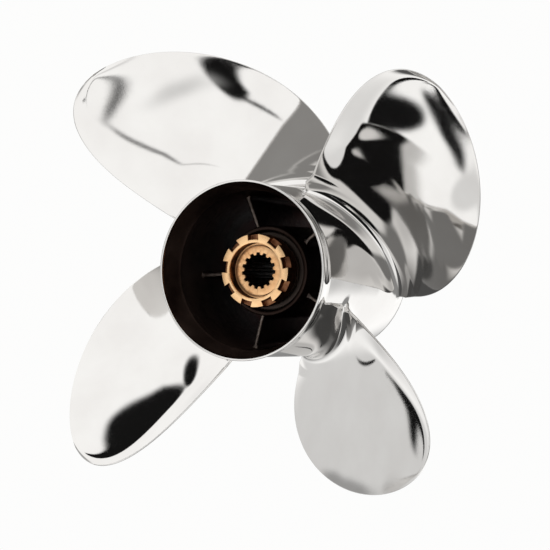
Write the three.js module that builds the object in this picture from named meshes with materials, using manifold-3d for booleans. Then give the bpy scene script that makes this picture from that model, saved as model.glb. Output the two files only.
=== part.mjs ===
// Four-blade outboard boat propeller with a through-hub exhaust and a rubber-cushioned drive hub.
// Millimetres. The shaft axis is Y: +Y is forward, towards the gearcase, and +Z is up.
// The origin is on the shaft axis, in the plane of the drive hub's forward thrust face.

import * as THREE from 'three';
import { mergeVertices } from 'three/addons/utils/BufferGeometryUtils.js';
import Module from 'manifold-3d';

const wasm = await Module();
wasm.setup();

// ---- Driving dimensions -------------------------------------------------------------------------

const GAP = 0.3;                      // clearance between pieces that meet
const ROUND_STEPS = 60;               // facets in a full turn
const OVERCUT = 2;                    // how far a cutter runs past the surface that it opens

const BLADE_COUNT = 4;
const TIP_RADIUS = 184.15;            // 14 1/2 inch propeller
const FIRST_BLADE_ANGLE = 64.6;       // degrees clockwise from +Z, seen from behind
const BLADE_PLANE = -48.3;            // where the root mid-chord line meets the shaft axis, along Y

const RIM_PLANE = -144;               // aft edge of the exhaust outlet
const FORWARD_END = 10.3;             // forward edge of the exhaust barrel
const RIM_RADIUS = 61.7;
const RIM_LIP = 1.6;                  // wall at the very edge of the rim
const RIM_CHAMFER = 0.4;
const BARREL_RADIUS = 59.2;
const BARREL_FORWARD_RADIUS = 55.7;
const BARREL_BORE = 54.8;
const BARREL_FORWARD_BORE = 48.5;     // the wall thickens towards the forward end
const FLARE_LENGTH = 18;
const FLARE_CURVE = [[4, 0.12], [10, 0.6]];   // distance ahead of the rim, share of the flare lost
const TAPER_START = -45;              // forward of this the barrel narrows, inside and out
const TAPER_STEPS = 5;

const TUBE_RADIUS = 31;
const TUBE_BORE = 27.6;
const TUBE_AFT = RIM_PLANE + 40.5;
const TUBE_FORWARD = 4;
const TUBE_LIP = 3;                   // radius of the rounded aft lip
const TUBE_BORE_CHAMFER = [0.12, 0.2];        // across and along, as shares of the wall

const RIB_COUNT = 5;
const RIB_THICKNESS = 2.6;
const FIRST_RIB_ANGLE = 51;
const RIB_AFT = RIM_PLANE + 51;
const RIB_FORWARD = 8;
const RIB_GAP = GAP + 0.15;           // a flat plate's corners reach farther out than its middle

const CROWN_AFT = RIM_PLANE + 21.6;
const CROWN_RADIUS = 25;
const CROWN_LENGTH = 14;
const COUNTERBORE_RADIUS = 19.2;
const COUNTERBORE_DEPTH = 6.3;
const COUNTERBORE_FILLET = 2.4;
const SLEEVE_RADIUS = 20;
const SHOULDER_LENGTH = 2;            // of the cone between the crown and the sleeve
const THRUST_CHAMFER = 1;
const LUG_COUNT = 9;
const FIRST_LUG_ANGLE = 16.5;
const SLOT_WIDTH = 7.8;
const SLOT_DEPTH = 6;
const SLOT_FLOOR_RADIUS = 21.2;

const SPLINE_TEETH = 15;
const FIRST_TOOTH_ANGLE = 10.2;
const SPLINE_MAJOR_RADIUS = 12.6;
const SPLINE_MINOR_RADIUS = 10.9;
const TOOTH_TIP_SHARE = 0.34;         // share of one tooth pitch taken by a tooth's tip
const TOOTH_ROOT_SHARE = 0.6;         // and by its root

const BUSH_AFT = RIM_PLANE + 43.5;
const BUSH_FORWARD = -8;
const BUSH_CHAMFER = 1.5;

// ---- Blade laws: t runs from 0 at the root to 1 at the tip --------------------------------------

const ROOT_RADIUS = 59.2;
const EDGE_ROUNDNESS = 2.46;          // higher makes the tip squarer

const fullChord = (t) => 120.9 + 101.4 * t - 44.3 * t ** 2 - 8.6 * t ** 3;
const chord = (t) => fullChord(t) * Math.sqrt(1 - t ** EDGE_ROUNDNESS);
const skew = (t) => 14.2 * t - 72.4 * t ** 2 - 0.5 * t ** 3;
const rake = (t) => 70 * t - 20.2 * t ** 2;
const pitch = (t) => 390.7 + 89.9 * t + 70.3 * t ** 2;
const thickness = (t) => 2.6 + 8.4 * (1 - t) ** 1.4;
const camber = (t) => 0.022 * (1 - 0.5 * t);       // share of the chord

const CUP_DEPTH = 3;                  // how far the trailing edge curls aft
const CUP_WIDTH = 9;
const CUP_START = 0.04;               // the cup grows from here...
const CUP_FULL = 0.4;                 // ...to here, along t

const BLADE_RINGS = 16;
const RING_CROWDING = 0.9;            // below 1 draws the rings towards the tip
const SECTION_STEPS = 28;
const SECTION_FULLNESS = 0.75;        // below 1 makes the edges blunter than an ellipse
const ROOT_SINK = 7;                  // length of blade inside the barrel before the root is cut

// ---- Materials ----------------------------------------------------------------------------------

const finish = (color, roughness, metalness) => () =>
  new THREE.MeshStandardMaterial({ color, roughness, metalness });

const polishedSteel = finish(0xd9dadb, 0.12, 1);
const satinSteel = finish(0x4a423d, 0.45, 1);
const blackRubber = finish(0x151414, 0.85, 0);
const bronze = finish(0xd9965f, 0.35, 1);

// ---- Helpers ------------------------------------------------------------------------------------

const part = new THREE.Group();
const radians = THREE.MathUtils.degToRad;

function add(name, geometry, material) {
  const mesh = new THREE.Mesh(geometry, material());
  mesh.name = name;
  part.add(mesh);
  return mesh;
}

function turnAboutShaft(mesh, clockwiseDegrees) {
  mesh.rotation.y = radians(clockwiseDegrees);
}

function solidOf(geometry) {
  const bare = geometry.clone();
  bare.deleteAttribute('normal');
  bare.deleteAttribute('uv');
  const merged = mergeVertices(bare, 1e-4);
  return new wasm.Manifold(new wasm.Mesh({
    numProp: 3,
    vertProperties: new Float32Array(merged.attributes.position.array),
    triVerts: new Uint32Array(merged.index.array),
  }));
}

function geometryOf(solid) {
  const mesh = solid.getMesh();
  const geometry = new THREE.BufferGeometry();
  geometry.setAttribute('position', new THREE.BufferAttribute(mesh.vertProperties, 3));
  geometry.setIndex(new THREE.BufferAttribute(mesh.triVerts, 1));
  geometry.computeVertexNormals();
  return geometry;
}

function arc(centre, radius, from, to, steps) {
  const points = [];
  for (let i = 0; i <= steps; i += 1) {
    const angle = radians(from + (to - from) * i / steps);
    points.push([centre[0] + radius * Math.cos(angle), centre[1] + radius * Math.sin(angle)]);
  }
  return points;
}

// A ring turned about the shaft from a closed outline of [radius, y] points, anticlockwise.
function turned(outline) {
  const points = [...outline, outline[0]].map(([radius, y]) => new THREE.Vector2(radius, y));
  return new THREE.LatheGeometry(points, ROUND_STEPS);
}

function extruded(outline, depth) {
  const shape = new THREE.Shape(outline.map(([x, y]) => new THREE.Vector2(x, y)));
  return new THREE.ExtrudeGeometry(shape, { depth, bevelEnabled: false });
}

// ---- Exhaust barrel and its flared outlet -------------------------------------------------------

const FLARE_FORWARD = RIM_PLANE + FLARE_LENGTH;

// A radius that stays at `full` and then eases down to `narrow` at the forward end.
function taperedRadius(full, narrow, y) {
  const share = Math.max(0, y - TAPER_START) / (FORWARD_END - TAPER_START);
  return full - (full - narrow) * share ** 2;
}

const barrelOutside = (y) => taperedRadius(BARREL_RADIUS, BARREL_FORWARD_RADIUS, y);
const barrelInside = (y) => taperedRadius(BARREL_BORE, BARREL_FORWARD_BORE, y);

function taperStations() {
  const stations = [];
  for (let i = 0; i <= TAPER_STEPS; i += 1) {
    stations.push(TAPER_START + (FORWARD_END - TAPER_START) * i / TAPER_STEPS);
  }
  return stations;
}

function exhaustBarrel() {
  const stations = [FLARE_FORWARD + GAP, ...taperStations()];
  const outside = stations.map((y) => [barrelOutside(y), y]);
  const inside = stations.map((y) => [barrelInside(y), y]).reverse();
  add('exhaust_barrel', turned([...outside, ...inside]), polishedSteel);
}

function flaredOutletRing() {
  const rise = RIM_RADIUS - BARREL_RADIUS;
  const outside = [
    [RIM_RADIUS - RIM_CHAMFER, RIM_PLANE],
    [RIM_RADIUS, RIM_PLANE + RIM_CHAMFER],
    ...FLARE_CURVE.map(([ahead, lost]) => [RIM_RADIUS - lost * rise, RIM_PLANE + ahead]),
    [BARREL_RADIUS, FLARE_FORWARD],
  ];
  const inside = [
    [BARREL_BORE, FLARE_FORWARD],
    [RIM_RADIUS - RIM_LIP, RIM_PLANE + RIM_CHAMFER],
    [RIM_RADIUS - RIM_LIP + RIM_CHAMFER, RIM_PLANE],
  ];
  add('flared_outlet_ring', turned([...outside, ...inside]), polishedSteel);
}

// ---- Inner hub tube and the ribs that carry it --------------------------------------------------

function innerHubTube() {
  const [across, along] = TUBE_BORE_CHAMFER.map((share) => share * (TUBE_RADIUS - TUBE_BORE));
  const lip = arc([TUBE_RADIUS - TUBE_LIP, TUBE_AFT + TUBE_LIP], TUBE_LIP, -90, 0, 5);
  const outline = [
    [TUBE_BORE, TUBE_AFT + along],
    [TUBE_BORE + across, TUBE_AFT],
    ...lip,
    [TUBE_RADIUS, TUBE_FORWARD],
    [TUBE_BORE, TUBE_FORWARD],
  ];
  add('inner_hub_tube', turned(outline), satinSteel);
}

// The rib lies in the radius-y plane, with a rounded aft edge, and is turned to its place.
function ribs() {
  const inner = TUBE_RADIUS + RIB_GAP;
  const outer = (y) => barrelInside(y) - RIB_GAP;
  const edge = RIB_THICKNESS / 2;
  const stations = [RIB_AFT + edge, ...taperStations().slice(0, -1), RIB_FORWARD];
  const plate = [
    [inner, RIB_AFT + edge],
    ...stations.map((y) => [outer(y), y]),
    [inner, RIB_FORWARD],
  ];
  const plateGeometry = extruded(plate, RIB_THICKNESS).translate(0, 0, -RIB_THICKNESS / 2);
  const roundEdge = arc([RIB_AFT + edge, 0], edge, 90, 270, 6);
  const insidePlate = RIB_AFT + 4 * edge;
  const bull = [...roundEdge, [insidePlate, -edge], [insidePlate, edge]];
  const bullGeometry = extruded(bull, outer(RIB_AFT) - inner)
    .applyMatrix4(new THREE.Matrix4().makeBasis(
      new THREE.Vector3(0, 1, 0),
      new THREE.Vector3(0, 0, 1),
      new THREE.Vector3(1, 0, 0),
    ))
    .translate(inner, 0, 0);
  const geometry = geometryOf(solidOf(plateGeometry).add(solidOf(bullGeometry)));
  for (let i = 0; i < RIB_COUNT; i += 1) {
    const rib = add(`exhaust_rib_${i + 1}`, geometry, satinSteel);
    turnAboutShaft(rib, FIRST_RIB_ANGLE + 360 * i / RIB_COUNT - 90);
  }
}

// ---- Drive hub: splined bronze insert and rubber bush -------------------------------------------

function splineOutline() {
  const points = [];
  const toothPitch = 360 / SPLINE_TEETH;
  for (let i = 0; i < SPLINE_TEETH; i += 1) {
    const middle = FIRST_TOOTH_ANGLE + i * toothPitch;
    const corners = [
      [SPLINE_MAJOR_RADIUS, middle - toothPitch * TOOTH_ROOT_SHARE / 2],
      [SPLINE_MINOR_RADIUS, middle - toothPitch * TOOTH_TIP_SHARE / 2],
      [SPLINE_MINOR_RADIUS, middle + toothPitch * TOOTH_TIP_SHARE / 2],
      [SPLINE_MAJOR_RADIUS, middle + toothPitch * TOOTH_ROOT_SHARE / 2],
    ];
    for (const [radius, angle] of corners) {
      points.push([radius * Math.sin(radians(angle)), radius * Math.cos(radians(angle))]);
    }
  }
  return points;
}

function splineCutter() {
  const length = -CROWN_AFT + 2 * OVERCUT;
  return extruded(splineOutline(), length).rotateX(Math.PI / 2).translate(0, OVERCUT, 0);
}

function slotCutter(angle) {
  const depth = CROWN_RADIUS - SLOT_FLOOR_RADIUS + OVERCUT;
  const box = new THREE.BoxGeometry(SLOT_WIDTH, SLOT_DEPTH * 2, depth);
  return box.translate(0, CROWN_AFT, SLOT_FLOOR_RADIUS + depth / 2).rotateY(radians(angle));
}

function splinedInsert() {
  const pilotBore = SPLINE_MINOR_RADIUS / 2;
  const floor = CROWN_AFT + COUNTERBORE_DEPTH;
  const crownForward = CROWN_AFT + CROWN_LENGTH;
  const fillet = arc(
    [COUNTERBORE_RADIUS - COUNTERBORE_FILLET, floor - COUNTERBORE_FILLET],
    COUNTERBORE_FILLET,
    90,
    0,
    4,
  );
  const outline = [
    [pilotBore, floor],
    ...fillet,
    [COUNTERBORE_RADIUS, CROWN_AFT],
    [CROWN_RADIUS, CROWN_AFT],
    [CROWN_RADIUS, crownForward],
    [SLEEVE_RADIUS, crownForward + SHOULDER_LENGTH],
    [SLEEVE_RADIUS, -THRUST_CHAMFER],
    [SLEEVE_RADIUS - THRUST_CHAMFER, 0],
    [pilotBore, 0],
  ];
  let solid = solidOf(turned(outline)).subtract(solidOf(splineCutter()));
  for (let i = 0; i < LUG_COUNT; i += 1) {
    const angle = FIRST_LUG_ANGLE + (i + 0.5) * 360 / LUG_COUNT;
    solid = solid.subtract(solidOf(slotCutter(angle)));
  }
  add('splined_insert', geometryOf(solid), bronze);
}

function rubberBush() {
  const inner = SLEEVE_RADIUS + GAP;
  const outer = TUBE_BORE - GAP;
  const outline = [
    [inner, BUSH_AFT],
    [outer - BUSH_CHAMFER, BUSH_AFT],
    [outer, BUSH_AFT + BUSH_CHAMFER],
    [outer, BUSH_FORWARD - BUSH_CHAMFER],
    [outer - BUSH_CHAMFER, BUSH_FORWARD],
    [inner, BUSH_FORWARD],
  ];
  add('rubber_bush', turned(outline), blackRubber);
}

// ---- Blades -------------------------------------------------------------------------------------

function cupHeight(t, across, chordLength) {
  const fromTrailingEdge = (1 + across) * chordLength / 2;
  const grown = THREE.MathUtils.smoothstep(t, CUP_START, CUP_FULL);
  const curl = 1 - Math.exp(-((fromTrailingEdge / CUP_WIDTH) ** 2));
  return CUP_DEPTH * grown * curl * (1 - across) / 2;
}

// across is +1 at the leading edge and -1 at the trailing edge; side is +1 on the forward face.
function bladePoint(radius, t, across, side) {
  const length = chord(t);
  const along = across * length / 2 + skew(t);
  const mean = camber(t) * length * (1 - across ** 2) + cupHeight(t, across, length);
  const offset = mean + side * thickness(t) / 2;
  const lead = pitch(t) / (2 * Math.PI);
  const helix = Math.hypot(radius, lead);
  const angle = along / helix - offset * (lead / helix) / radius;
  const y = BLADE_PLANE + lead * along / helix + offset * (radius / helix) - rake(t);
  return new THREE.Vector3(radius * Math.sin(angle), y, radius * Math.cos(angle));
}

function bladeRing(radius, t) {
  const ring = [];
  for (let i = 0; i < SECTION_STEPS; i += 1) {
    const turn = 2 * Math.PI * i / SECTION_STEPS;
    const bulge = Math.sin(turn);
    const side = Math.sign(bulge) * Math.abs(bulge) ** SECTION_FULLNESS;
    ring.push(bladePoint(radius, t, Math.cos(turn), side));
  }
  return ring;
}

function bladeRings() {
  const rings = [bladeRing(ROOT_RADIUS - ROOT_SINK, 0)];
  for (let i = 0; i < BLADE_RINGS; i += 1) {
    const t = Math.sin(Math.PI / 2 * i / BLADE_RINGS) ** RING_CROWDING;
    rings.push(bladeRing(ROOT_RADIUS + (TIP_RADIUS - ROOT_RADIUS) * t, t));
  }
  return rings;
}

function lofted(rings, apex) {
  const count = SECTION_STEPS;
  const index = [];
  for (let i = 1; i < count - 1; i += 1) {
    index.push(0, i + 1, i);
  }
  for (let row = 0; row < rings.length - 1; row += 1) {
    for (let i = 0; i < count; i += 1) {
      const next = (i + 1) % count;
      const [a, b] = [row * count + i, row * count + next];
      index.push(a, b, b + count, a, b + count, a + count);
    }
  }
  const last = (rings.length - 1) * count;
  const top = rings.length * count;
  for (let i = 0; i < count; i += 1) {
    index.push(last + i, last + (i + 1) % count, top);
  }
  const geometry = new THREE.BufferGeometry().setFromPoints([...rings.flat(), apex]);
  geometry.setIndex(index);
  return geometry;
}

// A plug of the barrel's outside shape, one gap larger, that trims the blade roots.
function rootTrim() {
  const farAhead = FORWARD_END - RIM_PLANE;
  const outside = [RIM_PLANE, ...taperStations()].map((y) => [barrelOutside(y) + GAP, y]);
  return turned([
    [0, RIM_PLANE],
    ...outside,
    [BARREL_FORWARD_RADIUS + GAP, farAhead],
    [0, farAhead],
  ]);
}

function blades() {
  const apex = bladePoint(TIP_RADIUS, 1, 0, 0);
  const rough = solidOf(lofted(bladeRings(), apex));
  const trimmed = geometryOf(rough.subtract(solidOf(rootTrim())));
  for (let i = 0; i < BLADE_COUNT; i += 1) {
    const blade = add(`blade_${i + 1}`, trimmed, polishedSteel);
    turnAboutShaft(blade, FIRST_BLADE_ANGLE + 360 * i / BLADE_COUNT);
  }
}

// ---- Assembly -----------------------------------------------------------------------------------

blades();
exhaustBarrel();
flaredOutletRing();
innerHubTube();
ribs();
splinedInsert();
rubberBush();

export default part;
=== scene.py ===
"""A four-blade outboard boat propeller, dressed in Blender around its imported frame.

Metres. The shaft axis is Y, with +Y forward, and +Z is up. Angles about the shaft are measured
clockwise from +Z, seen from behind.
"""

from math import cos, pi, radians, sin

import bpy
import numpy as np
from mathutils import Euler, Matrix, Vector


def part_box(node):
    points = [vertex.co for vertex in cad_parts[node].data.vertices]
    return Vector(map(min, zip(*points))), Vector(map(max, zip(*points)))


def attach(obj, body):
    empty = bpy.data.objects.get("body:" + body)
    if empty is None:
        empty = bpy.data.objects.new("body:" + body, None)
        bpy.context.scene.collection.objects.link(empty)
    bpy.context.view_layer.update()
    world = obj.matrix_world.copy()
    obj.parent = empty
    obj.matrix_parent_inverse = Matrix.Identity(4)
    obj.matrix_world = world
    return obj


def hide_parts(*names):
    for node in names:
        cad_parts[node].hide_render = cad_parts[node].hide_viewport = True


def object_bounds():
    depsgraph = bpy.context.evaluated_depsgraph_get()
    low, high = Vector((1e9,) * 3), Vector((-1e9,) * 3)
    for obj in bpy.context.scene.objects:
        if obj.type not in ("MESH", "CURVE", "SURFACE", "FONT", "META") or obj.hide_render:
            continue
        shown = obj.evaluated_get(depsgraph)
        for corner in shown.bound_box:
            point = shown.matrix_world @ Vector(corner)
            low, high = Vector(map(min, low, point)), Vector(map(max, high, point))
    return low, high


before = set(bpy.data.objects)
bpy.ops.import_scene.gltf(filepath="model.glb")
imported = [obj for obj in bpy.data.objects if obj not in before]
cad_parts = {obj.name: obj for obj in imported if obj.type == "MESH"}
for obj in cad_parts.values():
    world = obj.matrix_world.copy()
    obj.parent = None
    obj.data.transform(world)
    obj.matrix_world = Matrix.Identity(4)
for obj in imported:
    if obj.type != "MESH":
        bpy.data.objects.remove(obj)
CAD_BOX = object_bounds()
MM = 0.001

# ---- Sizes that come from the frame --------------------------------------------------------------

_, BARREL_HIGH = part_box("exhaust_barrel")
RING_LOW, RING_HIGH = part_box("flared_outlet_ring")
TUBE_LOW, TUBE_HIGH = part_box("inner_hub_tube")
INSERT_LOW, INSERT_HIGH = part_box("splined_insert")
BUSH_LOW, BUSH_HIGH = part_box("rubber_bush")

RIM_PLANE = RING_LOW.y
RIM_RADIUS = RING_HIGH.x
BARREL_RADIUS = BARREL_HIGH.x
FORWARD_END = BARREL_HIGH.y
TUBE_RADIUS = TUBE_HIGH.x
CROWN_AFT = INSERT_LOW.y
CROWN_RADIUS = INSERT_HIGH.x
THRUST_FACE = INSERT_HIGH.y


def tip_radius():
    """The farthest that the first blade reaches from the shaft axis."""
    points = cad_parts["blade_1"].data.vertices
    return max(Vector((v.co.x, v.co.z)).length for v in points)


TIP_RADIUS = tip_radius()

# ---- Barrel, tube and rib sizes that the frame's boxes don't give --------------------------------

BARREL_BORE = 54.8 * MM
BARREL_FORWARD_RADIUS = 55.7 * MM
BARREL_FORWARD_BORE = 48.5 * MM
TAPER_START = -45 * MM
BARREL_NOSE = 1.2 * MM          # rounding of the barrel's forward edge
TAPER_STATIONS = 24
RIM_LIP = 1.6 * MM
LIP_STEPS = 9
FLARE_STATIONS = 24
FLARE_REACH = 1.05              # above 1 lets the flare still rise a little at the rim
FLARE_BORE_POWER = 0.8
SOOT_START = 1.2 * MM           # the polish ends this far inside the rim
SOOT_FACING = 0.3               # and only faces that look inwards by more than this are sooty
TUBE_BORE = 27.6 * MM
TUBE_ROUNDING = 3 * MM
RIB_HALF = 1.3 * MM
RIB_BURY = 0.3 * MM             # how far a rib's ends sink into the tube and the barrel
RIB_FLARE = 3 * MM              # radial length over which a rib's ends spread
RIB_SPREAD = 0.8                # share of that length that an end spreads sideways
RIB_SPREAD_POWER = 2.2
RIB_HIGHLIGHT_DEPTH = 0.8 * MM           # depth of the painted highlight on a rib's aft edge
RIB_AFT = RIM_PLANE + 51 * MM
RIB_FORWARD = 8 * MM
FIRST_RIB_ANGLE = 51
RIB_COUNT = 5
RIB_AROUND = 48

# ---- Drive hub -----------------------------------------------------------------------------------

COUNTERBORE_RADIUS = 19.2 * MM
COUNTERBORE_FLOOR = CROWN_AFT + 6.3 * MM
GROOVE_WIDTH = 2 * MM           # of the undercut round the counterbore's floor
GROOVE_DEPTH = 2.5 * MM
CROWN_LENGTH = 14 * MM
SHOULDER_LENGTH = 2 * MM        # of the cone between the crown and the sleeve
SLEEVE_RADIUS = 20 * MM
THRUST_CHAMFER = 1 * MM
EDGE_BREAK = 0.35 * MM
SLOT_FLOOR_RADIUS = 21.2 * MM
SLOT_WIDTH = 7.8 * MM
SLOT_DEPTH = 6 * MM
LUG_COUNT = 9
FIRST_LUG_ANGLE = 16.5
SPLINE_TEETH = 15
FIRST_TOOTH_ANGLE = 10.2
SPLINE_MAJOR = 12.6 * MM
SPLINE_MINOR = 10.9 * MM
TOOTH_FLANK = (0.32, 0.62)      # where a tooth's flank starts and ends, from tip to root
TURNING_PITCH = 0.35 * MM       # of the lathe's marks on the bronze
BUSH_GAP = 0.3 * MM
BUSH_RECESS = 2.2 * MM
BUSH_STEP = 1.6 * MM            # width of the recessed ring next to the insert
BUSH_SLOPE = 1.4 * MM           # width of the slope up from it to the face
BUSH_FALL = 0.6 * MM            # how much lower the face is at its outer edge
BUSH_ROUNDING = 1.4 * MM

# ---- Blade laws: t runs from 0 at the root to 1 at the tip, lengths in metres --------------------

BLADE_COUNT = 4
FIRST_BLADE_ANGLE = 64.6
ROOT_RADIUS = 59.2 * MM
BLADE_PLANE = -48.3 * MM
EDGE_ROUNDNESS = 2.46
CUP_WIDTH = 15 * MM
CUP_SLOPE = 0.24
CUP_BEND = 2.2 * MM
CUP_LIP_TAPER = 0.45            # share of its width that the lip loses towards the tip
FILLET = 13 * MM
EDGE_FILLET = 8 * MM            # the fillet is smaller where it rounds the blade's edges
EDGE_FILLET_POWER = 6
FILLET_POWER = 2.3
EDGE_THICKNESS = 1.5 * MM
ROOT_EDGE_EXTRA = 1.6 * MM      # the edges grow by this much at the root...
ROOT_EDGE_SPAN = 0.3            # ...over this share of the span
EDGE_ROUNDING = 0.6             # length of the edge's rounding as a share of its thickness
BODY_FULLNESS = 0.8
ROW_CROWDING = 0.95             # below 1 draws the rows towards the tip


def chord(t):
    outline = np.sqrt(np.maximum(0, 1 - t ** EDGE_ROUNDNESS))
    return (120.9 + 101.4 * t - 44.3 * t ** 2 - 8.6 * t ** 3) * outline * MM


def skew(t):
    return (14.2 * t - 72.4 * t ** 2 - 0.5 * t ** 3) * MM


def rake(t):
    return (70 * t - 20.2 * t ** 2) * MM


def pitch(t):
    return (390.7 + 89.9 * t + 70.3 * t ** 2) * MM


def thickness(t):
    return (2.2 + 7.6 * np.maximum(0, 1 - t) ** 1.3) * MM


def camber(t):
    return 0.022 * (1 - 0.5 * t)


def smoothstep(x, low, high):
    u = np.clip((x - low) / (high - low), 0, 1)
    return u * u * (3 - 2 * u)


def cup(t, across, length):
    """How far the cup leaves the mean line forward of the straight line through both edges."""
    width = CUP_WIDTH * (1 - CUP_LIP_TAPER * smoothstep(t, 0.45, 1))
    slope = CUP_SLOPE * smoothstep(t, 0.02, 0.35)
    from_edge = (1 + across) * length / 2
    lip = CUP_BEND * np.log1p(np.exp((width - from_edge) / CUP_BEND))
    lip_at_edge = CUP_BEND * np.log1p(np.exp(width / CUP_BEND))
    return slope * (lip_at_edge - lip) * (1 - across) / 2


# ---- Mesh helpers --------------------------------------------------------------------------------

def mesh_object(name, points, faces, sharp=40):
    """A smooth-shaded mesh object whose edges above `sharp` degrees stay crisp."""
    mesh = bpy.data.meshes.new(name)
    mesh.from_pydata(points.tolist(), [], faces)
    mesh.validate()
    mesh.shade_smooth()
    mesh.set_sharp_from_angle(angle=radians(sharp))
    piece = bpy.data.objects.new(name, mesh)
    bpy.context.scene.collection.objects.link(piece)
    return piece


def grid_faces(rows, columns, wrap_rows=False):
    """Quads of a grid whose columns always close on themselves."""
    faces = []
    last = rows if wrap_rows else rows - 1
    for row in range(last):
        below, above = row * columns, (row + 1) % rows * columns
        for column in range(columns):
            beside = (column + 1) % columns
            faces.append((below + column, below + beside, above + beside, above + column))
    return faces


def around(radius, y, angle):
    """Points at a radius, a place along the shaft and an angle in radians, as an (n, 3) array."""
    radius, y, angle = np.broadcast_arrays(radius, y, angle)
    return np.stack([radius * np.sin(angle), y, radius * np.cos(angle)], -1)


def rounded(outline, radius, steps=5):
    """The closed outline of [r, y] points with each corner turned into an arc."""
    points = []
    corners = [np.array(p, float) for p in outline]
    for i, corner in enumerate(corners):
        before, after = corners[i - 1], corners[(i + 1) % len(corners)]
        to_before, to_after = before - corner, after - corner
        reach = min(radius, 0.45 * np.linalg.norm(to_before), 0.45 * np.linalg.norm(to_after))
        start = corner + to_before / np.linalg.norm(to_before) * reach
        end = corner + to_after / np.linalg.norm(to_after) * reach
        for step in range(steps + 1):
            u = step / steps
            points.append((1 - u) ** 2 * start + 2 * u * (1 - u) * corner + u ** 2 * end)
    return points


def turned(name, outline, steps=240, sharp=40):
    """A ring turned about the shaft from a closed, anticlockwise outline of [r, y] points."""
    angles = np.linspace(0, 2 * pi, steps, endpoint=False)
    rings = [around(r, y, angles) for r, y in outline]
    faces = grid_faces(len(rings), steps, wrap_rows=True)
    return mesh_object(name, np.concatenate(rings), faces, sharp)


def apply_modifiers(piece):
    """Replace the piece's mesh with its modified one."""
    depsgraph = bpy.context.evaluated_depsgraph_get()
    mesh = bpy.data.meshes.new_from_object(piece.evaluated_get(depsgraph))
    old = piece.data
    piece.modifiers.clear()
    piece.data = mesh
    bpy.data.meshes.remove(old)


def soften_edges(piece, width, angle=50):
    """Round the edges sharper than `angle` degrees."""
    bevel = piece.modifiers.new("soft_edges", "BEVEL")
    bevel.width = width
    bevel.segments = 2
    bevel.limit_method = "ANGLE"
    bevel.angle_limit = radians(angle)
    bevel.harden_normals = False
    apply_modifiers(piece)
    piece.data.shade_smooth()
    piece.data.set_sharp_from_angle(angle=radians(40))


def finish_piece(piece, body, node, slot, *materials):
    """Dress the piece with its materials, hang it on its body and hide the frame part that it stands for; the
    slot is not used.
    """
    for material in materials:
        piece.data.materials.append(material)
    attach(piece, body)
    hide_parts(node)


# ---- Shader helpers ------------------------------------------------------------------------------

class Shader:
    """A material and short ways to add and join its nodes."""

    def __init__(self, name):
        self.material = bpy.data.materials.new(name)
        self.material.use_nodes = True
        self.nodes = self.material.node_tree.nodes
        self.surface = self.nodes["Principled BSDF"]
        self.coordinates = self.nodes.new("ShaderNodeTexCoord").outputs["Object"]

    def join(self, source, target):
        self.material.node_tree.links.new(source, target)

    def stretched(self, scale):
        mapping = self.nodes.new("ShaderNodeMapping")
        mapping.inputs["Scale"].default_value = scale
        self.join(self.coordinates, mapping.inputs["Vector"])
        return mapping.outputs["Vector"]

    def noise(self, scale, detail=2, roughness=0.5, vector=None):
        node = self.nodes.new("ShaderNodeTexNoise")
        node.inputs["Scale"].default_value = scale
        node.inputs["Detail"].default_value = detail
        node.inputs["Roughness"].default_value = roughness
        self.join(vector or self.coordinates, node.inputs["Vector"])
        return node.outputs["Fac"]

    def ranged(self, value, low, high, from_low=0.0, from_high=1.0):
        node = self.nodes.new("ShaderNodeMapRange")
        node.inputs["From Min"].default_value = from_low
        node.inputs["From Max"].default_value = from_high
        node.inputs["To Min"].default_value = low
        node.inputs["To Max"].default_value = high
        self.join(value, node.inputs["Value"])
        return node.outputs["Result"]

    def maths(self, operation, a, b=None):
        node = self.nodes.new("ShaderNodeMath")
        node.operation = operation
        for socket, value in zip(node.inputs, (a, b)):
            if isinstance(value, (int, float)):
                socket.default_value = value
            elif value is not None:
                self.join(value, socket)
        return node.outputs["Value"]

    def colours(self, value, stops):
        node = self.nodes.new("ShaderNodeValToRGB")
        ramp = node.color_ramp
        ramp.elements[0].position, ramp.elements[0].color = stops[0][0], (*stops[0][1], 1)
        ramp.elements[1].position, ramp.elements[1].color = stops[-1][0], (*stops[-1][1], 1)
        for position, colour in stops[1:-1]:
            ramp.elements.new(position).color = (*colour, 1)
        self.join(value, node.inputs["Fac"])
        return node.outputs["Color"]

    def bump(self, height, strength, distance, normal=None):
        node = self.nodes.new("ShaderNodeBump")
        node.inputs["Strength"].default_value = strength
        node.inputs["Distance"].default_value = distance
        self.join(height, node.inputs["Height"])
        if normal:
            self.join(normal, node.inputs["Normal"])
        return node.outputs["Normal"]

    def radius_and_y(self):
        """Distance from the shaft axis and place along it."""
        split = self.nodes.new("ShaderNodeSeparateXYZ")
        self.join(self.coordinates, split.inputs["Vector"])
        squares = [self.maths("MULTIPLY", split.outputs[axis], split.outputs[axis]) for axis in "XZ"]
        return self.maths("SQRT", self.maths("ADD", *squares)), split.outputs["Y"]

    def set(self, **values):
        for name, value in values.items():
            socket = self.surface.inputs[name.replace("_", " ")]
            if isinstance(value, bpy.types.NodeSocket):
                self.join(value, socket)
            else:
                socket.default_value = value


def polished_steel():
    """Hand-buffed stainless steel: a mirror with faint buffing swirls and slow waves."""
    s = Shader("polished_steel")
    cloud = s.noise(28, 3)
    tint = s.colours(cloud, [(0.3, (0.62, 0.605, 0.59)), (0.7, (0.66, 0.65, 0.635))])
    swirl = s.noise(260, 4, 0.7, s.stretched((1, 0.35, 1)))
    fine = s.noise(2600, 2, 0.6, s.stretched((1, 0.2, 1)))
    haze = s.maths("ADD", s.ranged(swirl, 0.01, 0.035, 0.3, 0.7), s.ranged(fine, 0, 0.015, 0.3, 0.7))
    waves = s.bump(s.noise(18, 1), 0.07, 0.004)
    s.set(Base_Color=tint, Metallic=1.0, Roughness=haze, Normal=s.bump(fine, 0.02, 0.0002, waves))
    return s.material


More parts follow.
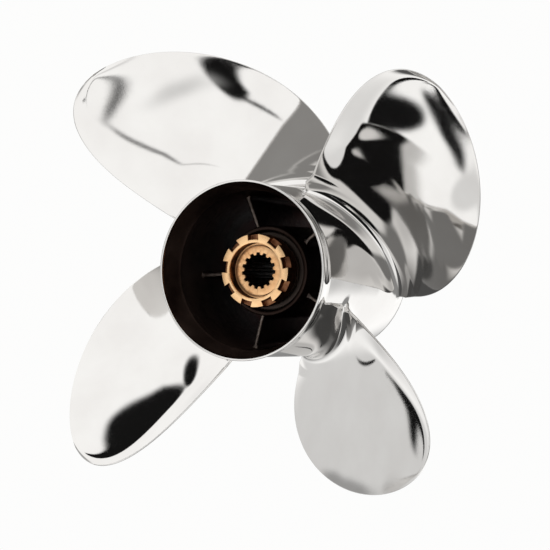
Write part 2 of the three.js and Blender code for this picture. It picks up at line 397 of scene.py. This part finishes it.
def exhaust_steel():
    """The dull, sooty, as-cast inside of the exhaust passage."""
    s = Shader("exhaust_steel")
    soot = s.noise(45, 5, 0.6)
    tint = s.colours(soot, [(0.3, (0.018, 0.0115, 0.0095)), (0.7, (0.050, 0.033, 0.027))])
    grain = s.noise(1400, 3, 0.6)
    s.set(Base_Color=tint, Metallic=0.85, Roughness=s.ranged(soot, 0.40, 0.56, 0.3, 0.7))
    s.set(Specular_IOR_Level=0.2, Specular_Tint=(0.34, 0.23, 0.19, 1))
    s.set(Normal=s.bump(grain, 0.2, 0.0004))
    return s.material


def bronze_oxide_and_shade(s, radius, y):
    """How dark the bronze is painted, partly oxide and partly painted shade: in the slots, on the
    counterbore's wall and floor, and in the bore.
    """
    below_crown = s.ranged(y, 0, 1, CROWN_AFT + 0.3 * MM, CROWN_AFT + 1.6 * MM)
    slots = s.ranged(radius, 0, 0.75, COUNTERBORE_RADIUS + 0.5 * MM, SLOT_FLOOR_RADIUS)
    from_inside = s.ranged(radius, 0, 0.92, COUNTERBORE_RADIUS - 0.6 * MM, COUNTERBORE_RADIUS - 0.1 * MM)
    to_outside = s.ranged(radius, 1, 0, COUNTERBORE_RADIUS + 0.1 * MM, COUNTERBORE_RADIUS + 0.5 * MM)
    wall = s.maths("MULTIPLY", from_inside, to_outside)
    hollows = s.maths("MULTIPLY", below_crown, s.maths("MAXIMUM", slots, wall))
    recess = s.ranged(y, 0, 0.22, CROWN_AFT + 2 * MM, COUNTERBORE_FLOOR)
    ahead = s.ranged(y, 0, 1, COUNTERBORE_FLOOR, COUNTERBORE_FLOOR + 3 * MM)
    within = s.ranged(radius, 1, 0, SPLINE_MAJOR + 0.2 * MM, SPLINE_MAJOR + 1 * MM)
    bore = s.maths("MULTIPLY", ahead, within)
    return s.maths("MAXIMUM", s.maths("MAXIMUM", hollows, recess), bore)


def bronze():
    """Machined bronze, bright on the crown and dark in its hollows with oxide and painted shade."""
    s = Shader("bronze")
    radius, y = s.radius_and_y()
    turning = s.maths("SINE", s.maths("MULTIPLY", s.maths("ADD", radius, y), 2 * pi / TURNING_PITCH))
    patina = s.noise(160, 4, 0.6)
    # Patina noise plus the hollows' oxide and painted shade, which darkens the tint below.
    aged_and_shaded = s.maths("ADD", bronze_oxide_and_shade(s, radius, y), s.ranged(patina, -0.12, 0.16, 0.3, 0.7))
    tint = s.colours(aged_and_shaded, [
        (0.0, (0.86, 0.56, 0.30)),
        (0.35, (0.72, 0.39, 0.18)),
        (0.75, (0.20, 0.085, 0.042)),
        (1, (0.010, 0.006, 0.004)),
    ])
    s.set(Base_Color=tint, Metallic=1.0, Roughness=s.ranged(aged_and_shaded, 0.27, 0.5))
    s.set(Normal=s.bump(turning, 0.1, 0.00004, s.bump(patina, 0.1, 0.0003)))
    return s.material


def black_rubber():
    """Moulded rubber, with a fine grain and a brownish bloom."""
    s = Shader("black_rubber")
    bloom = s.noise(90, 4, 0.65)
    tint = s.colours(bloom, [(0.35, (0.010, 0.008, 0.007)), (0.75, (0.030, 0.023, 0.019))])
    s.set(Base_Color=tint, Metallic=0.0, Roughness=s.ranged(bloom, 0.38, 0.6, 0.3, 0.7))
    s.set(Specular_Tint=(0.95, 0.72, 0.62, 1))
    s.set(Normal=s.bump(s.noise(2200, 3), 0.25, 0.0002))
    return s.material


def painted_rib_highlight():
    """Rib aft edges painted lighter than the soot: a painted highlight."""
    s = Shader("painted_rib_highlight")
    patches = s.noise(400, 4, 0.6)
    tint = s.colours(patches, [(0.35, (0.10, 0.075, 0.062)), (0.7, (0.30, 0.25, 0.22))])
    s.set(Base_Color=tint, Metallic=0.9, Roughness=s.ranged(patches, 0.38, 0.55, 0.3, 0.7))
    s.set(Normal=s.bump(patches, 0.15, 0.0002))
    return s.material


STEEL = polished_steel()
SOOTY = exhaust_steel()
BRONZE = bronze()
RUBBER = black_rubber()
RIB_HIGHLIGHT = painted_rib_highlight()

# ---- Barrel and flared ring ----------------------------------------------------------------------


def tapered(full, narrow, y):
    share = np.maximum(0, y - TAPER_START) / (FORWARD_END - TAPER_START)
    return full - (full - narrow) * share ** 2


def barrel_outside(y):
    return tapered(BARREL_RADIUS, BARREL_FORWARD_RADIUS, y)


def barrel_inside(y):
    return tapered(BARREL_BORE, BARREL_FORWARD_BORE, y)


def paint_second(piece, chosen):
    """Give the second material to the faces for which chosen(face) holds."""
    for face in piece.data.polygons:
        face.material_index = int(chosen(face))


def faces_shaft(face):
    """Whether a face looks inwards, and lies ahead of the rim's lip."""
    x, y, z = face.center
    inwards = -(x * face.normal.x + z * face.normal.z) / Vector((x, z)).length
    return inwards > SOOT_FACING and y > RIM_PLANE + SOOT_START


def exhaust_barrel():
    taper = np.linspace(TAPER_START, FORWARD_END, TAPER_STATIONS)[:-1]
    stations = np.concatenate([[RING_HIGH.y], taper])
    outside = [(barrel_outside(y), y) for y in stations]
    inside = [(barrel_inside(y), y) for y in stations][::-1]
    behind = FORWARD_END - BARREL_NOSE
    # The corners behind the nose only steer its two arcs, and are left out below.
    nose = rounded([
        (barrel_outside(behind), behind),
        (BARREL_FORWARD_RADIUS, FORWARD_END),
        (BARREL_FORWARD_BORE, FORWARD_END),
        (barrel_inside(behind), behind),
    ], BARREL_NOSE * 0.8)
    end = [point for point in nose if point[1] > FORWARD_END - BARREL_NOSE * 0.99]
    piece = turned("exhaust_barrel_shell", outside + end + inside)
    paint_second(piece, faces_shaft)
    finish_piece(piece, "propeller", "exhaust_barrel", "polished_steel", STEEL, SOOTY)


def flared_ring():
    lip = RIM_LIP / 2
    length = RING_HIGH.y - RIM_PLANE
    rise = RIM_RADIUS - BARREL_RADIUS
    bore_rise = RIM_RADIUS - RIM_LIP - BARREL_BORE
    outside, inside, edge = [], [], []
    for u in np.linspace(1, 0, FLARE_STATIONS):
        y = RIM_PLANE + lip + (length - lip) * u
        outside.append((BARREL_RADIUS + rise * smoothstep(1 - u, 0, FLARE_REACH), y))
        inside.append((BARREL_BORE + bore_rise * (1 - u) ** FLARE_BORE_POWER, y))
    for angle in np.linspace(0, pi, LIP_STEPS)[1:-1]:
        edge.append((RIM_RADIUS - lip + lip * cos(angle), RIM_PLANE + lip * (1 - sin(angle))))
    piece = turned("flared_ring_shell", (outside + edge + inside[::-1])[::-1])
    paint_second(piece, faces_shaft)
    finish_piece(piece, "propeller", "flared_outlet_ring", "polished_steel", STEEL, SOOTY)


# ---- Inner tube, ribs, bush ----------------------------------------------------------------------


def hub_tube():
    outline = rounded([
        (TUBE_BORE, TUBE_LOW.y),
        (TUBE_RADIUS, TUBE_LOW.y),
        (TUBE_RADIUS, TUBE_HIGH.y),
        (TUBE_BORE, TUBE_HIGH.y),
    ], TUBE_ROUNDING, 8)
    piece = turned("hub_tube_casting", outline, sharp=60)
    finish_piece(piece, "propeller", "inner_hub_tube", "sooty_steel", SOOTY)


# The rows crowd at both ends of a rib, where it flares.
RIB_SHARES = np.concatenate([np.linspace(0, 0.16, 9), np.linspace(0.2, 0.8, 7), np.linspace(0.84, 1, 9)])


def rib_ring(share, turn):
    """A rib's outline at one share of its height, as (outwards, along the shaft, sideways)."""
    aft_half = np.cos(turn) > 0
    low = TUBE_RADIUS - RIB_BURY
    high = barrel_inside(np.where(aft_half, RIB_AFT, RIB_FORWARD)) + RIB_BURY
    radius = low + (high - low) * share
    near = np.minimum(radius - low, high - radius)
    flare = np.clip(1 - near / RIB_FLARE, 0, 1) ** RIB_SPREAD_POWER
    half = RIB_HALF + RIB_FLARE * RIB_SPREAD * flare
    along = np.where(aft_half, RIB_AFT + half, RIB_FORWARD - half) - half * np.cos(turn)
    return np.stack([radius, along, half * np.sin(turn)], -1)


def rib(number):
    """A radial plate with round aft and forward edges, flaring into the tube and the barrel."""
    angle = radians(FIRST_RIB_ANGLE + 360 * (number - 1) / RIB_COUNT)
    turn = np.linspace(0, 2 * pi, RIB_AROUND, endpoint=False)
    rings = [rib_ring(share, turn) for share in RIB_SHARES]
    outwards, along, sideways = np.concatenate(rings).T
    x = outwards * sin(angle) + sideways * cos(angle)
    z = outwards * cos(angle) - sideways * sin(angle)
    faces = grid_faces(len(rings), RIB_AROUND)
    last = (len(rings) - 1) * RIB_AROUND
    faces.append(tuple(reversed(range(RIB_AROUND))))
    faces.append(tuple(last + i for i in range(RIB_AROUND)))
    piece = mesh_object(f"rib_casting_{number}", np.stack([x, along, z], -1), faces, 60)
    # The rib's aft edge takes the lighter second material, a painted highlight.
    paint_second(piece, lambda face: face.center.y < RIB_AFT + RIB_HIGHLIGHT_DEPTH)
    finish_piece(piece, "propeller", f"exhaust_rib_{number}", "sooty_steel", SOOTY, RIB_HIGHLIGHT)


def bush():
    low, high = BUSH_LOW.y, BUSH_HIGH.y
    inner, outer = SLEEVE_RADIUS + BUSH_GAP, BUSH_HIGH.x
    outline = rounded([
        (inner, low + BUSH_RECESS),
        (inner + BUSH_STEP, low + BUSH_RECESS),
        (inner + BUSH_STEP + BUSH_SLOPE, low),
        (outer, low + BUSH_FALL),
        (outer, high),
        (inner, high),
    ], BUSH_ROUNDING, 6)
    piece = turned("rubber_bush_moulding", outline, sharp=70)
    finish_piece(piece, "drive_hub", "rubber_bush", "black_rubber", RUBBER)


# ---- Splined insert ------------------------------------------------------------------------------

COLUMNS_PER_LUG = 40


def crown_angles(radius):
    """Column angles at a radius, half of them on lugs and half between the parallel slot walls."""
    pitch_angle = 2 * pi / LUG_COUNT
    wall = np.arcsin(SLOT_WIDTH / 2 / radius)
    half = COLUMNS_PER_LUG // 2
    lug = np.linspace(-1, 1, half) * (pitch_angle / 2 - wall)
    slot = pitch_angle / 2 + np.linspace(-1, 1, half) * wall
    one = np.concatenate([lug, slot])
    turns = [one + radians(FIRST_LUG_ANGLE) + i * pitch_angle for i in range(LUG_COUNT)]
    return np.concatenate(turns)


IN_SLOT = np.tile(np.repeat([False, True], COLUMNS_PER_LUG // 2), LUG_COUNT)


def spline_radius(angles):
    """The bore's radius at each angle: straight-flanked teeth with a tip and a root land."""
    pitch_angle = 2 * pi / SPLINE_TEETH
    place = np.abs(((angles - radians(FIRST_TOOTH_ANGLE)) / pitch_angle + 0.5) % 1 - 0.5) * 2
    return SPLINE_MINOR + (SPLINE_MAJOR - SPLINE_MINOR) * smoothstep(place, *TOOTH_FLANK)


def splined_insert():
    slot_floor = CROWN_AFT + SLOT_DEPTH
    crown_front = CROWN_AFT + CROWN_LENGTH
    uniform = np.linspace(0, 2 * pi, LUG_COUNT * COLUMNS_PER_LUG, endpoint=False)
    at_slot_floor, at_crown = crown_angles(SLOT_FLOOR_RADIUS), crown_angles(CROWN_RADIUS)
    uniform = uniform + at_slot_floor[0]
    teeth = spline_radius(uniform)
    rings = []

    def ring(radius, y, angles=uniform):
        rings.append(around(radius, y, angles))

    ring(teeth, THRUST_FACE)
    ring(teeth, COUNTERBORE_FLOOR)
    ring(COUNTERBORE_RADIUS - GROOVE_WIDTH, COUNTERBORE_FLOOR)
    ring(COUNTERBORE_RADIUS - GROOVE_WIDTH, COUNTERBORE_FLOOR + GROOVE_DEPTH)
    ring(COUNTERBORE_RADIUS, COUNTERBORE_FLOOR + GROOVE_DEPTH)
    ring(COUNTERBORE_RADIUS, CROWN_AFT, at_slot_floor)
    ring(SLOT_FLOOR_RADIUS, CROWN_AFT, at_slot_floor)
    corner_radius = np.where(IN_SLOT, SLOT_FLOOR_RADIUS, CROWN_RADIUS)
    corner_y = np.where(IN_SLOT, slot_floor, CROWN_AFT)
    ring(corner_radius, corner_y, np.where(IN_SLOT, at_slot_floor, at_crown))
    ring(CROWN_RADIUS, slot_floor, at_crown)
    ring(CROWN_RADIUS, crown_front)
    ring(SLEEVE_RADIUS, crown_front + SHOULDER_LENGTH)
    ring(SLEEVE_RADIUS, THRUST_FACE - THRUST_CHAMFER)
    ring(SLEEVE_RADIUS - THRUST_CHAMFER, THRUST_FACE)
    faces = grid_faces(len(rings), len(uniform), wrap_rows=True)
    piece = mesh_object("splined_insert_casting", np.concatenate(rings), faces)
    soften_edges(piece, EDGE_BREAK)
    finish_piece(piece, "drive_hub", "splined_insert", "bronze", BRONZE)


# ---- Blades --------------------------------------------------------------------------------------

AROUND = 256
SPAN_ROWS = 150
FILLET_ROWS = 20
SETTLING_ROUNDS = 4             # the barrel's radius depends on y, which depends on the radius
TURN = np.linspace(0, 2 * pi, AROUND, endpoint=False)


def section(t):
    """A blade section's outline as (along the chord, off the mean helix), in metres."""
    length = chord(t)
    across = np.cos(TURN)
    full = thickness(t)
    near_root = np.maximum(0, 1 - t / ROOT_EDGE_SPAN) ** 2
    edge = np.minimum(full, EDGE_THICKNESS + ROOT_EDGE_EXTRA * near_root)
    body = edge + (full - edge) * (1 - across ** 2) ** BODY_FULLNESS
    inset = np.minimum(1, (1 - np.abs(across)) * length / 2 / (EDGE_ROUNDING * edge))
    half = body / 2 * np.sqrt(1 - (1 - inset) ** 2)
    mean = camber(t) * length * (1 - across ** 2) + cup(t, across, length)
    return across * length / 2 + skew(t), mean + np.sign(np.sin(TURN)) * half


def place_on_blade(radius, t, along, offset, angle):
    """Wrap section points round the shaft on the blade's helix, at a radius or one for each point."""
    lead = pitch(t) / (2 * pi)
    helix = np.hypot(radius, lead)
    turn = angle + along / helix - offset * (lead / helix) / radius
    y = BLADE_PLANE + lead * along / helix + offset * (radius / helix) - rake(t)
    return around(radius, y, turn)


def share_of_span(radius):
    return np.maximum(0, (radius - ROOT_RADIUS) / (TIP_RADIUS - ROOT_RADIUS))


def fillet_row(step, angle):
    """One row of the root fillet; step 0 meets the blade and step 1 meets the barrel."""
    edge_share = np.abs(np.cos(TURN)) ** EDGE_FILLET_POWER
    size = FILLET + (EDGE_FILLET - FILLET) * edge_share
    height = size * (1 - step) ** FILLET_POWER
    spread = size * step ** FILLET_POWER
    t = float(share_of_span(ROOT_RADIUS + FILLET * (1 - step) ** FILLET_POWER))
    along, offset = section(t)
    tangent = np.stack([np.roll(along, -1) - np.roll(along, 1), np.roll(offset, -1) - np.roll(offset, 1)], -1)
    tangent /= np.linalg.norm(tangent, axis=-1, keepdims=True)
    along = along + spread * tangent[:, 1]
    offset = offset - spread * tangent[:, 0]
    radius = ROOT_RADIUS + height
    for _ in range(SETTLING_ROUNDS):
        points = place_on_blade(radius, t, along, offset, angle)
        radius = barrel_outside(points[:, 1]) + height
    return points


def root_cap():
    """Closes the first row with strips from face to back, so that it stays inside the barrel's wall."""
    middle = AROUND // 2
    faces = [(0, AROUND - 1, 1), (middle + 1, middle, middle - 1)]
    for i in range(1, middle - 1):
        faces.append((i, AROUND - i, AROUND - i - 1, i + 1))
    return faces


def blade(number):
    angle = radians(FIRST_BLADE_ANGLE + 360 * (number - 1) / BLADE_COUNT)
    rows = [fillet_row(step, angle) for step in np.linspace(1, 0, FILLET_ROWS)]
    start = float(share_of_span(ROOT_RADIUS + FILLET))
    for step in np.linspace(0, 1, SPAN_ROWS)[1:-1]:
        t = start + (1 - start) * np.sin(step * pi / 2) ** ROW_CROWDING
        along, offset = section(t)
        radius = ROOT_RADIUS + (TIP_RADIUS - ROOT_RADIUS) * t
        rows.append(place_on_blade(radius, t, along, offset, angle))
    tip = place_on_blade(TIP_RADIUS, 1.0, skew(1.0), 0.0, angle)
    points = np.concatenate(rows + [tip.reshape(1, 3)])
    faces = grid_faces(len(rows), AROUND)
    last = (len(rows) - 1) * AROUND
    apex = len(rows) * AROUND
    for i in range(AROUND):
        faces.append((last + i, last + (i + 1) % AROUND, apex))
    faces.extend(root_cap())
    piece = mesh_object(f"blade_casting_{number}", points, faces, 80)
    finish_piece(piece, "propeller", f"blade_{number}", "polished_steel", STEEL)


# ---- Studio --------------------------------------------------------------------------------------

FLOOR_DROP = 0.45               # metres from the lowest blade tip to the floor
FLOOR_HALF = 4
VIEW_AZIMUTH = 25.294           # degrees
VIEW_ELEVATION = -0.538
VIEW_DISTANCE = 3.0114          # metres from the rim's centre
VIEW_RIGHT = 0.02315
VIEW_UP = -0.0032
LENS = 290.4
WHITE = 1.38                    # brightness of the studio
BACKGROUND = 0.98               # brightness that the camera sees behind the propeller


def camera():
    azimuth, elevation = radians(VIEW_AZIMUTH), radians(VIEW_ELEVATION)
    data = bpy.data.cameras.new("camera")
    data.lens = LENS
    data.sensor_width = 36
    piece = bpy.data.objects.new("camera", data)
    bpy.context.scene.collection.objects.link(piece)
    piece.rotation_euler = Euler((pi / 2 - elevation, 0, azimuth))
    turn = piece.rotation_euler.to_matrix()
    piece.location = Vector((0, RIM_PLANE, 0)) + turn @ Vector((VIEW_RIGHT, VIEW_UP, VIEW_DISTANCE))
    bpy.context.scene.camera = piece


def floor():
    height = CAD_BOX[0][2] - FLOOR_DROP
    signs = ((-1, -1), (1, -1), (1, 1), (-1, 1))
    corners = np.array([(FLOOR_HALF * x, FLOOR_HALF * y, height) for x, y in signs])
    piece = mesh_object("floor", corners, [(0, 1, 2, 3)])
    s = Shader("floor")
    s.set(Base_Color=(0.97, 0.97, 0.965, 1), Roughness=0.9)
    piece.data.materials.append(s.material)
    piece.visible_glossy = False


# Grey, black and white cards around the studio, each painted over the ones before it. Azimuth is
# from straight behind the propeller towards +X; width and height are half sizes. These and the
# tilt are in degrees. Softness is the edge's, as a share of the size.
CARDS = [
    # azimuth, elevation, width, height, tilt, softness, brightness
    # Broad soft greys that shade the propeller when it is seen from the sides and the front.
    (0, 18, 22, 26, 0, 0.40, 0.45),
    (-52, 5, 16, 28, 0, 0.40, 0.50),
    (86, 0, 12, 24, 0, 0.40, 0.45),
    (-145, 0, 24, 48, 0, 0.45, 0.28),
    (-172, 24, 14, 15, 0, 0.40, 0.50),
    (180, -62, 50, 24, 0, 0.35, 0.32),
    # Ceiling, walls and floor of the studio.
    (180, 62, 33, 28, 0, 0.10, 0.55),
    (112, 40, 16, 10, 0, 0.30, 0.50),
    (130, -15, 27, 38, 0, 0.08, 0.36),
    (118, -58, 24, 18, 0, 0.15, 0.36),
    (20, -72, 16, 12, 0, 0.40, 1.05),
    (-95, 3, 22, 18, 0, 0.15, 0.92),
    (-103, -66, 17, 14, 0, 0.25, 0.12),
    (-98, -42, 13, 19, 0, 0.35, 0.10),
    # Small cards, most of them black, that draw the dark shapes and lines on the blades.
    (64, -44, 11, 17, 0, 0.10, 0.012),
    (46, -61, 14, 5, 0, 0.15, 0.012),
    (-37, -60, 6.5, 2.8, -61, 0.12, 0.01),
    (-46.5, -50.5, 7.5, 1.0, -30, 0.15, 0.01),
    (-60, -45, 3, 2.5, 0, 0.20, 1.0),
    (-70.5, 50.5, 11.5, 3.9, 18, 0.10, 0.01),
    (34.6, -16.2, 3.4, 3.6, 0, 0.10, 0.01),
    (33.2, -22.8, 3.9, 4.6, 0, 0.10, 1.38),
    (39.2, -20.8, 0.5, 5.3, 25, 0.30, 0.01),
    (37, 5, 0.8, 6.5, -30, 0.35, 0.25),
    (46, 10.3, 5.0, 0.6, 0, 0.40, 0.30),
    (37.5, -6.0, 1.2, 6.5, -14, 0.80, 0.95),
    (-95.5, -7.4, 9, 0.8, 20, 0.20, 0.01),
    (-107, -29.5, 2, 2, 0, 0.20, 0.01),
    (-82.5, 10, 1.6, 6, 0, 0.30, 0.45),
]


def direction(azimuth, elevation):
    a, e = radians(azimuth), radians(elevation)
    return Vector((sin(a) * cos(e), -cos(a) * cos(e), sin(e)))


def card_mask(nodes, links, ray, card):
    """1 where a ray from the propeller meets the card, 0 elsewhere."""
    azimuth, elevation, width, height, tilt, softness, _ = card
    centre = direction(azimuth, elevation)
    across = direction(azimuth + 90, 0)
    above = centre.cross(across) * -1
    if above.z < 0:
        above = -above
    turn = radians(tilt)
    wide = (across * cos(turn) + above * sin(turn)) / sin(radians(width))
    high = (above * cos(turn) - across * sin(turn)) / sin(radians(height))

    def dot(vector):
        node = nodes.new("ShaderNodeVectorMath")
        node.operation = "DOT_PRODUCT"
        node.inputs[1].default_value = vector
        links.new(ray, node.inputs[0])
        return node.outputs["Value"]

    flat = nodes.new("ShaderNodeCombineXYZ")
    links.new(dot(wide), flat.inputs["X"])
    links.new(dot(high), flat.inputs["Y"])
    length = nodes.new("ShaderNodeVectorMath")
    length.operation = "LENGTH"
    links.new(flat.outputs["Vector"], length.inputs[0])
    edge = nodes.new("ShaderNodeMapRange")
    edge.interpolation_type = "SMOOTHSTEP"
    edge.inputs["From Min"].default_value = 1 - softness
    edge.inputs["From Max"].default_value = 1 + softness
    edge.inputs["To Min"].default_value = 1
    edge.inputs["To Max"].default_value = 0
    links.new(length.outputs["Value"], edge.inputs["Value"])
    ahead = nodes.new("ShaderNodeMath")
    ahead.operation = "GREATER_THAN"
    ahead.inputs[1].default_value = 0
    links.new(dot(centre), ahead.inputs[0])
    both = nodes.new("ShaderNodeMath")
    both.operation = "MULTIPLY"
    links.new(edge.outputs["Result"], both.inputs[0])
    links.new(ahead.outputs["Value"], both.inputs[1])
    return both.outputs["Value"]


def studio_world():
    """A white studio with cards in it; the camera itself sees a plain, near-white background."""
    world = bpy.data.worlds.new("studio")
    bpy.context.scene.world = world
    world.use_nodes = True
    nodes, links = world.node_tree.nodes, world.node_tree.links
    ray = nodes.new("ShaderNodeTexCoord").outputs["Generated"]
    light = None
    for card in CARDS:
        mix = nodes.new("ShaderNodeMix")
        mix.inputs[2].default_value = WHITE
        mix.inputs[3].default_value = card[-1]
        if light:
            links.new(light, mix.inputs[2])
        links.new(card_mask(nodes, links, ray, card), mix.inputs[0])
        light = mix.outputs[0]
    seen = nodes.new("ShaderNodeMix")
    seen.inputs[3].default_value = BACKGROUND
    links.new(nodes.new("ShaderNodeLightPath").outputs["Is Camera Ray"], seen.inputs[0])
    links.new(light, seen.inputs[2])
    links.new(seen.outputs[0], nodes["Background"].inputs["Strength"])
    nodes["Background"].inputs["Color"].default_value = (1, 1, 0.995, 1)


camera()
floor()
studio_world()
exhaust_barrel()
flared_ring()
hub_tube()
for number in range(1, RIB_COUNT + 1):
    rib(number)
bush()
splined_insert()
for number in range(1, BLADE_COUNT + 1):
    blade(number)

bpy.context.scene.view_settings.view_transform = "Standard"
